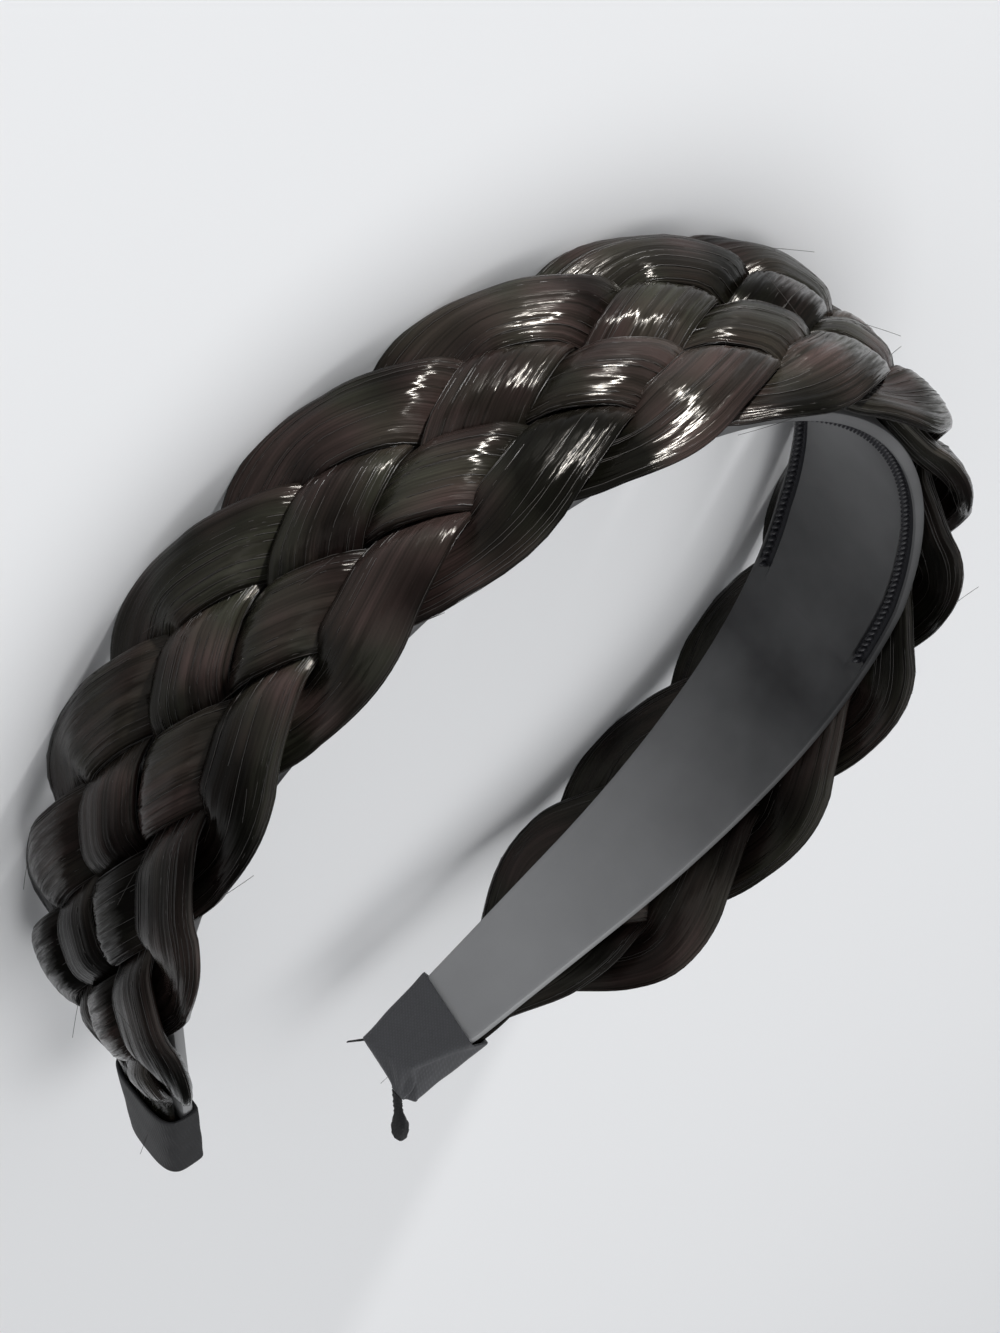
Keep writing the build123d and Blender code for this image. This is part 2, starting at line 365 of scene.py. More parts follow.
def makeHairMaterial(name, look):
    n = Nodes(name)
    around = n.add("ShaderNodeUVMap", uv_map="around_along").outputs["UV"]
    fibres = n.noise(n.scaled(around, (look["fibresAround"], look["fibresAlong"], 1)), detail=3, roughness=0.6)
    locks = n.noise(n.scaled(around, (look["locksAround"], look["locksAlong"], 1)), detail=2)
    place = n.add("ShaderNodeTexCoord").outputs["Object"]
    patches = n.edge(n.noise(place, scale=look["tintPatches"], detail=1), *look["tintEdge"])
    tint = n.blendColours(patches, look["greenColour"], look["purpleColour"])
    streaks = n.edge(n.math("MULTIPLY", n.math("ADD", fibres, locks), 0.5), *look["streakEdge"])
    # patches of painted light and shade: the base colour is scaled darker and paler, and the gloss varies with it
    litPatches = n.noise(place, scale=look["shadePatches"], detail=1)
    pale = n.spread(litPatches, *look["paintedLightShare"], look["shadeEdge"])
    n.put("Base Color", n.vector("SCALE", n.blendColours(streaks, look["darkColour"], tint), scale=pale))
    n.put("Specular IOR Level", n.spread(litPatches, *look["glossShare"], look["shadeEdge"]))
    n.put("Roughness", n.spread(fibres, *look["roughness"]))
    fibreHeight = n.math("MULTIPLY", fibres, look["fibreRelief"])
    lockHeight = n.math("MULTIPLY", locks, look["lockRelief"])
    combed = n.relief(n.math("ADD", fibreHeight, lockHeight), 1.0, 1.0)
    tangent = n.add("ShaderNodeTangent", direction_type="UV_MAP", uv_map="around_along").outputs["Tangent"]
    along = n.vector("CROSS_PRODUCT", n.add("ShaderNodeNewGeometry").outputs["Normal"], tangent)
    jags = n.noise(n.scaled(around, (look["jagsAround"], look["jagsAlong"], 1)), detail=4, roughness=0.75)
    tilt = n.math("MULTIPLY", n.math("SUBTRACT", jags, 0.5), look["jagTilt"])
    tilted = n.vector("ADD", combed, n.vector("SCALE", along, scale=tilt))  # breaks the shine into jags
    n.put("Normal", n.vector("NORMALIZE", tilted))
    n.put("Anisotropic", look["stretchedGloss"])
    n.put("IOR", look["ior"])
    n.put("Specular Tint", (*look["glossTint"], 1))
    n.put("Tangent", tangent)
    return n.material


plasticLook = {
    "colour": (0.012, 0.012, 0.013),
    "paintedReflectionColour": (0.340, 0.342, 0.347),
    # how far the plastic takes the pale colour along its depth, 0 at the tips and 1 at the crown:
    # painted reflection makes the arms pale, painted shade makes the temples darkest
    "paintedShadeAndReflection": ((0.0, 1.0), (0.22, 0.85), (0.52, 0.0), (0.66, 0.10), (0.80, 0.34)),
    "cloudScale": 55.0,
    "cloudiness": 0.35,
    "roughness": (0.35, 0.47),
    "ior": 1.36,
    "grain": 2600.0,
    "grainStrength": 0.6,
    "grainRelief": 0.00002,
}
combLook = {
    **plasticLook,
    "colour": (0.016, 0.016, 0.019),
    "paintedReflectionColour": (0.030, 0.030, 0.034),
    # the comb takes the same painted shade and reflection along its depth
    "paintedShadeAndReflection": (*plasticLook["paintedShadeAndReflection"][:-1], (0.80, 0.35)),
    "roughness": (0.23, 0.35),
    "grainRelief": 0.00001,
}


def makePlasticMaterial(name, look):
    n = Nodes(name)
    place = n.add("ShaderNodeTexCoord").outputs["Object"]
    cloud = n.noise(place, scale=look["cloudScale"], detail=4)
    grain = n.noise(place, scale=look["grain"], detail=2)
    depth = n.add("ShaderNodeSeparateXYZ", {"Vector": place}).outputs["Y"]
    share = n.spread(depth, 0.0, 1.0, (cadBox[0][1], cadBox[1][1]))
    # painted shade and reflection: the colour runs between dark and pale along the depth
    paintedShadeAndReflection = n.ramp(share, [(position, (reflectionShare,) * 3) for position, reflectionShare in look["paintedShadeAndReflection"]])
    clouded = n.math("MULTIPLY", n.math("SUBTRACT", cloud, 0.5), look["cloudiness"])
    n.put("Base Color", n.blendColours(n.math("ADD", paintedShadeAndReflection, clouded), look["colour"], look["paintedReflectionColour"]))
    n.put("Roughness", n.spread(cloud, *look["roughness"]))
    n.put("Normal", n.relief(grain, look["grainStrength"], look["grainRelief"]))
    n.put("IOR", look["ior"])
    return n.material


clothLook = {
    "colour": (0.050, 0.051, 0.055),
    "threadColour": (0.082, 0.083, 0.090),
    "threads": 5200.0,  # threads in a metre
    "threadsInAWave": 6.3,
    "unevenness": 1.2,
    "fuzzScale": 1500.0,
    "fuzz": 0.8,
    "threadShare": 0.6,  # how much of the threads' colour the raised places take
    "reliefStrength": 0.8,
    "relief": 0.00005,
    "roughness": 0.75,
    "sheen": 0.25,
    "sheenRoughness": 0.4,
}
# a darker copy of the slate cloth: on the left sleeve it is painted shade, on the tail and the thread stub it is
# the tie's own black
darkAndShadedClothLook = {
    **clothLook,
    "colour": (0.009, 0.009, 0.010),
    "threadColour": (0.017, 0.017, 0.019),
    "sheen": 0.06,
}


def makeClothMaterial(name, look):
    n = Nodes(name)
    place = n.add("ShaderNodeTexCoord").outputs["Object"]
    waves = {"Vector": place, "Scale": look["threads"] / look["threadsInAWave"], "Distortion": look["unevenness"],
             "Detail": 1.0}
    warp, weft = (n.add("ShaderNodeTexWave", waves, bands_direction=direction).outputs["Fac"]
                  for direction in ("Z", "DIAGONAL"))
    fuzz = n.noise(place, scale=look["fuzzScale"], detail=4, roughness=0.7)
    height = n.math("ADD", n.math("MULTIPLY", warp, weft), n.math("MULTIPLY", fuzz, look["fuzz"]))
    raised = n.math("MULTIPLY", height, look["threadShare"], clamp=True)
    n.put("Base Color", n.blendColours(raised, look["colour"], look["threadColour"]))
    n.put("Roughness", look["roughness"])
    n.put("Sheen Weight", look["sheen"])
    n.put("Sheen Roughness", look["sheenRoughness"])
    n.put("Normal", n.relief(height, look["reliefStrength"], look["relief"]))
    return n.material


looseHairLook = {
    "darkColour": (0.0070, 0.0056, 0.0045),
    "paleColour": (0.0160, 0.0125, 0.0100),
    "shadeScale": 900.0,
    "shadeEdge": (0.35, 0.75),
    "roughness": 0.38,
    "ior": 1.55,
}


def makeLooseHairMaterial(name, look):
    n = Nodes(name)
    place = n.add("ShaderNodeTexCoord").outputs["Object"]
    shade = n.edge(n.noise(place, scale=look["shadeScale"], detail=1), *look["shadeEdge"])
    n.put("Base Color", n.blendColours(shade, look["darkColour"], look["paleColour"]))
    n.put("Roughness", look["roughness"])
    n.put("IOR", look["ior"])
    return n.material


hairMaterial = makeHairMaterial("brown_black_hair", hairLook)
looseHairMaterial = makeLooseHairMaterial("loose_brown_black_hair", looseHairLook)
plasticMaterial = makePlasticMaterial("satin_grey_plastic", plasticLook)
combMaterial = makePlasticMaterial("dark_comb_plastic", combLook)
clothMaterial = makeClothMaterial("slate_cloth", clothLook)
darkAndShadedClothMaterial = makeClothMaterial("dark_and_shaded_slate_cloth", darkAndShadedClothLook)
print("materials made")

# Plastic band


def makeBand():
    end = bandHalf - band["tipInset"]
    run = np.linspace(-end, end, round(2 * end / band["ringStep"]) + 1)[:, None]
    nearTip = np.clip((np.abs(run) - end) / band["tipRound"] + 1, 0, 1)
    rounding = np.maximum(band["tipLeast"], (1 - nearTip ** 2) ** band["tipPower"])
    half, flat = halfWidthAt(run), np.zeros_like(run)
    wall, edge, inset, lip = (band[key] for key in ("wall", "edgeRound", "combInset", "combLip"))
    cut, width = edge * band["edgeCut"], band["combWidth"]
    groove = band["combDepth"] * (1 - ease((np.abs(run) - band["combRun"]) / band["combFade"]))
    front = [(half - inset - width, flat), (half - inset - width + lip, groove), (half - inset - lip, groove),
             (half - inset, flat), (half - cut, flat + cut), (half, flat + edge),
             (half, flat + wall - edge), (half - cut, flat + wall - cut), (half - edge, flat + wall)]
    section = front + [(-across, out) for across, out in reversed(front)]
    across, out = (np.concatenate(values, axis=1) for values in zip(*section))
    rings = placeOn(run, out, across * rounding)
    piece = skin("plastic_band_detail", rings, plasticMaterial)
    piece.data.set_sharp_from_angle(angle=math.radians(band["sharpAngle"]))
    return piece


bandPiece = makeBand()
print("band made")

# Strands of the plait

plait = {
    "strands": 5,
    "lobePitch": 0.0231,
    "swing": 0.0129,
    "turnSharpness": 0.90,
    "turnQuickness": 3.0,
    "thickness": 0.0036,
    "gap": 0.0005,
    "fill": 0.96,
    "layerGap": 0.0003,
    "rise": 1.12,
    "seatGap": 0.0003,
    "firstEdge": 0.0115,
    "thinningStart": 0.139,
    "thinShare": 0.30,
    "sleeveLength": 0.0155,
    "endInset": 0.004,
    "ringStep": 0.0012,
    "sides": 72,
    "locks": ((5, 0.9), (8, 1.0), (13, 0.8), (19, 0.6), (27, 0.45)),  # ridges round a strand, and their share
    "lockDepth": 0.00003,
    "lockWidening": 0.35,  # how much a lock widens the strand, for its depth
    "slowWander": (1.6, 0.021),  # how far a lock turns round the strand, in radians, and in what run
    "quickWander": (0.7, 0.0083),
    "seed": 4,
}
crossingPitch = plait["lobePitch"] / 2
thinEnd = bandHalf - plait["sleeveLength"]


def thinning(run):
    share = (np.abs(run) - plait["thinningStart"]) / (thinEnd - plait["thinningStart"])
    return 1 + (plait["thinShare"] - 1) * ease(share)


def layerRise(run):
    return (plait["thickness"] * thinning(run) * plait["rise"] + plait["layerGap"]) / 2


def layerMiddle(run):
    return band["wall"] + plait["seatGap"] + plait["thickness"] * thinning(run) / 2 + layerRise(run)


def swingShare(crossings):
    wave = np.sin(math.pi * (crossings / plait["strands"] - 0.5))
    return np.arcsin(plait["turnSharpness"] * wave) / math.asin(plait["turnSharpness"])


def strandSlope(crossings, run):
    near = 0.01  # share of a crossing on either side
    climb = (swingShare(crossings + near) - swingShare(crossings - near)) / (2 * near)
    crossingRun = crossingPitch * stretchAt(run, layerMiddle(run))
    return np.arctan(climb * plait["swing"] * thinning(run) / crossingRun)


def strandHalfWidth(run):
    steepest = strandSlope(np.full_like(run, plait["strands"] / 2), run)
    room = plait["lobePitch"] * stretchAt(run, layerMiddle(run)) * np.sin(steepest)
    return (room - plait["gap"]) * plait["fill"] / 2


def liftShare(crossings):  # -1 where the strand passes under, 1 over, 0 where it turns at an edge
    count = plait["strands"]
    passed = np.mod(crossings, count)
    level = np.where(passed < 1, np.sin(math.pi * passed / 2), np.cos(math.pi * (passed - 1)))
    last = math.cos(math.pi * count) * np.cos(math.pi * (passed - count + 1) / 2)
    level = np.where(passed > count - 1, last, level)
    return np.sin(math.pi / 2 * level)


def makeStrand(number):
    random = np.random.default_rng(plait["seed"] + number)
    end = bandHalf - plait["endInset"]
    rows = int(round(2 * end / plait["ringStep"]))
    run = np.linspace(-end, end, rows + 1)[:, None]
    angle = (anglesAround(plait["sides"]) - math.pi / 2)[None, :]
    wide, thick = np.cos(angle), np.sin(angle)
    crossings = (run - plait["firstEdge"]) / crossingPitch - 2 * number
    slope = strandSlope(crossings, run)
    stretch = stretchAt(run, layerMiddle(run))
    halfWide = strandHalfWidth(run)
    halfThick = plait["thickness"] * thinning(run) / 2
    locks = 0
    (slowTurn, slowRun), (quickTurn, quickRun) = plait["slowWander"], plait["quickWander"]
    for ridges, share in plait["locks"]:
        phase, drift, wave = random.uniform(0, fullTurn, 3)
        wander = drift + slowTurn * np.sin(run / slowRun + wave) + quickTurn * np.sin(run / quickRun + phase)
        locks = locks + share * np.sin(ridges * angle + phase + wander)
    depth = plait["lockDepth"] * locks * thinning(run) / halfThick
    wide, thick = wide * (1 + depth * plait["lockWidening"]), thick * (1 + depth)
    heading = np.clip(np.sin(math.pi * crossings / plait["strands"]) * plait["turnQuickness"], -1, 1)
    lean = heading * np.cos(2 * slope) / 2
    pointRun = run - wide * halfWide * np.sin(slope) / stretch
    across = plait["swing"] * thinning(run) * swingShare(crossings) + wide * halfWide * np.cos(slope)
    lift = layerRise(run) * liftShare(crossings + wide * lean) + halfThick * thick
    rings = placeOn(pointRun, layerMiddle(run) + lift, across)
    combing = np.gradient(rings, axis=0)
    combing /= np.linalg.norm(combing, axis=-1, keepdims=True)
    return skin(f"hair_strand_{number + 1}", rings, hairMaterial, {"combing": combing})


strandPieces = [makeStrand(number) for number in range(plait["strands"])]
print("strands made")

# Hair ends that lie flat on the band and fill the sleeves' mouths

hairEnds = {
    "length": 0.024,  # from under the plait to the sleeve's mouth
    "insideSleeve": 0.007,
    "startHeight": 0.0004,
    "height": 0.0023,  # added by the sleeve's mouth
    "startWidth": 0.6,  # share of the band's width
    "edgeInset": 0.0002,
    "seatGap": 0.0001,
    "rings": 41,
    "sides": 64,
    "locks": ((7, 1.0), (12, 0.9), (19, 0.7)),
    "lockDepth": 0.00005,
    "wander": (1.2, 0.009),
    "seed": 31,
}


def makeHairEnd(name, side):
    random = np.random.default_rng(hairEnds["seed"] + side)
    start, end = thinEnd - hairEnds["length"], thinEnd + hairEnds["insideSleeve"]
    run = np.linspace(start, end, hairEnds["rings"])[:, None]
    angle = (anglesAround(hairEnds["sides"]) - math.pi / 2)[None, :]
    locks = 0
    turn, turnRun = hairEnds["wander"]
    for ridges, share in hairEnds["locks"]:
        phase, drift = random.uniform(0, fullTurn, 2)
        locks = locks + share * np.sin(ridges * angle + phase + turn * np.sin(run / turnRun + drift))
    risen = ease((run - run[0]) / hairEnds["length"])
    high = hairEnds["startHeight"] + hairEnds["height"] * risen + hairEnds["lockDepth"] * locks * risen
    widthShare = hairEnds["startWidth"] + (1 - hairEnds["startWidth"]) * risen
    across = (halfWidthAt(run) - hairEnds["edgeInset"]) * widthShare * np.cos(angle)
    out = band["wall"] + hairEnds["seatGap"] + high * (1 + np.sin(angle)) / 2
    return skin(name, placeOn(side * run, out, side * across), hairMaterial)


hairEndPieces = [makeHairEnd("left_hair_end", -1), makeHairEnd("right_hair_end", 1)]
print("hair ends laid")

# Fine hairs that follow the strands, and loose ones that stand off them

fineHairs = {
    "Hairs": 170,
    "Points": 22,
    "Shortest": 0.05,  # shares of the strand's length
    "Longest": 0.16,
    "Latest start": 0.93,
    "Last place": 0.998,
    "Hair radius": 0.000045,
    "Lift": 0.00008,
    "Wander": 0.05,
    "Seed": 3,
}
looseHairs = {
    "Hairs in a square metre": 2600.0,
    "Shortest": 0.005,
    "Longest": 0.010,
    "Hair radius": 0.00004,
    "Taper": 0.7,
    "Turn": 0.20,  # radians away from the combing
    "Lowest": 0.0002,
    "Seed": 12,
}
seedStep = 7  # between one strand's hairs and the next one's


def makeFineHairTree():
    kinds = {label: type(value) for label, value in fineHairs.items()}
    t = Tree("fine_hairs_along_a_strand", {**kinds, "Material": bpy.types.Material})
    points = t.add("GeometryNodePoints", {"Count": t.input["Hairs"]}).outputs[0]
    seed = t.input["Seed"]
    points = t.store(points, "around", t.random(0.0, 1.0, seed))
    points = t.store(points, "start", t.random(0.0, t.input["Latest start"], t.math("ADD", seed, 1)))
    length = t.random(t.input["Shortest"], t.input["Longest"], t.math("ADD", seed, 2))
    points = t.store(points, "length", length)
    line = t.add("GeometryNodeCurvePrimitiveLine").outputs[0]
    line = t.add("GeometryNodeResampleCurve", {"Curve": line, "Count": t.input["Points"]}).outputs[0]
    hairs = t.add("GeometryNodeInstanceOnPoints", {"Points": points, "Instance": line}).outputs[0]
    hairs = t.add("GeometryNodeRealizeInstances", {"Geometry": hairs}).outputs[0]
    along = t.add("GeometryNodeSplineParameter").outputs["Factor"]
    around, start, length = (t.attribute(label, "FLOAT") for label in ("around", "start", "length"))
    # each hair sways by its own part of the noise
    seat = t.add("ShaderNodeCombineXYZ", {0: t.math("MULTIPLY", around, 61), 1: t.math("MULTIPLY", start, 37),
                                          2: t.math("MULTIPLY", along, 1.5)}).outputs[0]
    sway = t.add("ShaderNodeTexNoise", {"Vector": seat, "Scale": 1.0, "Detail": 1.0}).outputs["Fac"]
    sway = t.math("MULTIPLY", t.math("SUBTRACT", sway, 0.5), t.input["Wander"])
    u = t.math("FRACT", t.math("ADD", around, sway))
    v = t.math("MINIMUM", t.math("MULTIPLY_ADD", along, length, start), t.input["Last place"])
    spot = t.add("ShaderNodeCombineXYZ", {0: u, 1: v}).outputs[0]
    found = []
    for source in (t.add("GeometryNodeInputPosition").outputs[0], t.add("GeometryNodeInputNormal").outputs[0]):
        node = t.add("GeometryNodeSampleUVSurface", {"Mesh": t.input["Geometry"], "Value": source,
                                                     "UV Map": t.attribute("around_along"), "Sample UV": spot},
                     data_type="FLOAT_VECTOR")
        found.append(node.outputs["Value"])
    arch = t.math("SINE", t.math("MULTIPLY", along, math.pi))
    dip, tipWidth = 0.5, 0.25  # the ends dip into the strand, and are thin
    lift = t.math("MULTIPLY", t.math("MULTIPLY_ADD", arch, 1 + dip, -dip), t.input["Lift"])
    raised = t.add("ShaderNodeVectorMath", {0: found[1], "Scale": lift}, operation="SCALE").outputs[0]
    place = t.add("ShaderNodeVectorMath", {0: found[0], 1: raised}, operation="ADD").outputs[0]
    hairs = t.add("GeometryNodeSetPosition", {"Geometry": hairs, "Position": place}).outputs[0]
    width = t.math("MULTIPLY_ADD", arch, 1 - tipWidth, tipWidth)
    hairs = t.add("GeometryNodeSetCurveRadius", {"Curve": hairs, "Radius": width}).outputs[0]
    t.finish(t.tubes(hairs, t.input["Hair radius"], 3), t.input["Material"])
    return t


def makeLooseHairTree():
    kinds = {label: type(value) for label, value in looseHairs.items()}
    t = Tree("loose_hairs_off_a_strand", {**kinds, "Material": bpy.types.Material})
    seed = t.input["Seed"]
    spread = t.add("GeometryNodeDistributePointsOnFaces", {"Mesh": t.input["Geometry"], "Seed": seed,
                                                           "Density": t.input["Hairs in a square metre"]})
    turned = t.add("FunctionNodeAlignRotationToVector", {"Vector": t.attribute("combing")}, axis="X").outputs[0]
    turned = t.add("FunctionNodeAlignRotationToVector", {"Rotation": turned, "Vector": spread.outputs["Normal"]},
                   axis="Z", pivot_axis="X").outputs[0]
    back = t.math("MULTIPLY", t.math("ROUND", t.random(0.0, 1.0, t.math("ADD", seed, 1))), math.pi)
    off = t.random(t.math("MULTIPLY", t.input["Turn"], -1), t.input["Turn"], t.math("ADD", seed, 2))
    twist = t.add("FunctionNodeAxisAngleToRotation", {"Axis": (0, 0, 1), "Angle": t.math("ADD", back, off)})
    turned = t.add("FunctionNodeRotateRotation", {"Rotation": turned, "Rotate By": twist.outputs[0]},
                   rotation_space="LOCAL").outputs[0]
    bow = {"Resolution": 7, "Start": (0, 0, -0.01), "Middle": (0.45, 0.0, 0.07), "End": (1.0, 0.06, 0.13)}
    hair = t.add("GeometryNodeCurveQuadraticBezier", bow).outputs[0]
    length = t.random(t.input["Shortest"], t.input["Longest"], t.math("ADD", seed, 3))
    hairs = t.add("GeometryNodeInstanceOnPoints", {"Points": spread.outputs["Points"], "Instance": hair,
                                                   "Rotation": turned, "Scale": length}).outputs[0]
    hairs = t.add("GeometryNodeRealizeInstances", {"Geometry": hairs}).outputs[0]
    parts = t.add("ShaderNodeSeparateXYZ", {0: t.add("GeometryNodeInputPosition").outputs[0]}).outputs
    above = t.add("ShaderNodeCombineXYZ", {0: parts[0], 1: parts[1],
                                           2: t.math("MAXIMUM", parts[2], t.input["Lowest"])}).outputs[0]
    hairs = t.add("GeometryNodeSetPosition", {"Geometry": hairs, "Position": above}).outputs[0]
    along = t.add("GeometryNodeSplineParameter").outputs["Factor"]
    width = t.math("SUBTRACT", 1.0, t.math("MULTIPLY", along, t.input["Taper"]))
    hairs = t.add("GeometryNodeSetCurveRadius", {"Curve": hairs, "Radius": width}).outputs[0]
    t.finish(t.tubes(hairs, t.input["Hair radius"], 3), t.input["Material"])
    return t


def addHairs(name, tree, values):
    grown = []
    for number, strand in enumerate(strandPieces):
        settings = {**values, "Seed": values["Seed"] + seedStep * number, "Material": looseHairMaterial}
        grown.append(grow(f"{name}_{number + 1}", strand.data.copy(), tree, settings))
    return grown


finePieces = addHairs("fine_hairs", makeFineHairTree(), fineHairs)
loosePieces = addHairs("loose_hairs", makeLooseHairTree(), looseHairs)
print("fine and loose hairs grown")

# Comb teeth along both edges of the band's inner face

teeth = {
    "Pitch": 0.0012,
    "Tooth height": 0.0016,
    "Tooth width": 0.0012,
    "Tip share": 0.3,  # of the tooth's width
}
combStrip = {
    "clearance": 0.0001,  # between the groove's floor and the teeth's line
    "railStep": 0.001,
    "rings": 121,
    "low": 0.4,  # shares of the groove's depth
    "high": 1.3,
}


def combMiddle(run):
    return halfWidthAt(run) - band["combInset"] - band["combWidth"] / 2


def makeTeeth():
    t = Tree("comb_teeth_along_an_edge", {**{label: float for label in teeth}, "Material": bpy.types.Material})
    rail = t.add("GeometryNodeMeshToCurve", {"Mesh": t.input["Geometry"]}).outputs[0]
    spots = t.add("GeometryNodeCurveToPoints", {"Curve": rail, "Length": t.input["Pitch"]}, mode="LENGTH")
    turned = t.add("FunctionNodeAlignRotationToVector", {"Vector": t.attribute("inward")}, axis="Z").outputs[0]
    turned = t.add("FunctionNodeAlignRotationToVector", {"Rotation": turned, "Vector": spots.outputs["Tangent"]},
                   axis="X", pivot_axis="Z").outputs[0]
    half = t.math("MULTIPLY", t.input["Tooth width"], 0.5)
    cone = {"Vertices": 8, "Radius Top": t.math("MULTIPLY", half, t.input["Tip share"]), "Radius Bottom": half,
            "Depth": t.input["Tooth height"]}
    tooth = t.add("GeometryNodeMeshCone", cone).outputs[0]
    row = t.add("GeometryNodeInstanceOnPoints", {"Points": spots.outputs["Points"], "Instance": tooth,
                                                 "Rotation": turned}).outputs[0]
    t.finish(row, t.input["Material"])
    step = combStrip["railStep"]
    run = np.arange(-band["combRun"], band["combRun"] + step / 2, step)
    points, inward, edges = [], [], []
    for side in (-1, 1):
        across = side * combMiddle(run)
        first = len(points)
        points += placeOn(run, band["combDepth"] + combStrip["clearance"], across).tolist()
        inward += (placeOn(run, -1.0, across) - placeOn(run, 0.0, across)).tolist()
        edges += [(first + i, first + i + 1) for i in range(len(run) - 1)]
    rails = bpy.data.meshes.new("comb_rails")
    rails.from_pydata(points, edges, [])
    attribute = rails.attributes.new("inward", "FLOAT_VECTOR", "POINT")
    attribute.data.foreach_set("vector", np.array(inward, np.float32).ravel())
    return grow("comb_teeth", rails, t, {**teeth, "Material": combMaterial})


def makeCombStrip(name, side):  # dark strip in the groove that the teeth stand in
    run = np.linspace(-band["combRun"], band["combRun"], combStrip["rings"])[:, None]
    middle, half = combMiddle(run), band["combWidth"] / 2 - band["combLip"] / 2
    low, high = band["combDepth"] * combStrip["low"], band["combDepth"] * combStrip["high"]
    across = side * np.concatenate([middle - half, middle + half, middle + half, middle - half], axis=1)
    out = np.array([[low, low, high, high]])
    return skin(name, placeOn(run, out, across), combMaterial)


teethPiece = makeTeeth()
combStrips = [makeCombStrip("back_comb_strip", -1), makeCombStrip("front_comb_strip", 1)]
print("comb teeth set")

# Cloth sleeves over the tips, and the tied tail

sleeve = {
    "wall": 0.0004,
    "slack": 0.0003,
    "sides": 96,
    # the turned rim: run past the mouth, and shares of the slack and of the wall
    "rim": ((0.0030, 0.3, 0.0), (0.0003, 0.6, 0.0), (0.0, 1.0, 0.25), (0.0, 1.0, 0.8), (0.0004, 1.0, 1.0)),
    "rimEnd": 0.0011,
    "rings": 22,
    "endRings": 12,
    "flatSquareness": 0.80,
    "strandSquareness": 0.40,
    "foldedLength": 0.0026,
    "foldedSize": 0.0030,
    "foldedPower": 2.4,  # how late the folded end closes
    "gatheredLength": 0.0018,
    "gatheredSize": 0.0026,
    "gatheredDrop": 0.0031,  # towards the front edge
    "mouthBack": 0.0010,  # how far the gathered sleeve's corners are pulled towards the tip
    "mouthFront": 0.0027,
    "endBack": -0.0015,
    "endFront": -0.0043,
    "neckShift": -0.0015,
    "frontNarrowing": 0.40,
    "pleats": 7,
    "pleatDepth": 0.13,
    "creases": ((3, 500, 1.0), (4, -800, 1.0), (5, 1100, 0.5)),  # round the sleeve, along it, and their share
    "creaseDepth": 0.00003,
    "creasedWidth": 0.002,  # narrower rings aren't creased more than this one
    "seed": 21,
}
tail = {
    "gap": 0.0001,
    "length": 0.0072,
    "lean": 56.0,
    "turnShare": 0.3,  # of the length, in which the tail turns to its lean
    "diameter": 0.0026,
    # along the tail, and the share of its diameter there
    "outline": ((0, 0.75), (0.12, 0.55), (0.3, 0.46), (0.42, 0.58), (0.62, 0.96), (0.8, 1.0), (0.93, 0.72),
                (1.0, 0.2)),
    "rings": 44,
    "sides": 24,
    "windings": 5,
    "windingDepth": 0.00012,
    "woundShare": 0.4,
    "frays": ((7, 9, 0.06), (11, -21, 0.05)),  # round the tail, along it, and their depth
}
stub = {
    "length": 0.0032,
    "radius": 0.00035,
    "taper": 0.35,
    "along": 0.8,  # its way from the corner
    "across": 0.6,
    "out": 0.0008,
    "rings": 9,
    "sides": 8,
}


def bundleHeight(run):
    return 2 * (layerMiddle(run) - band["wall"]) - plait["seatGap"]


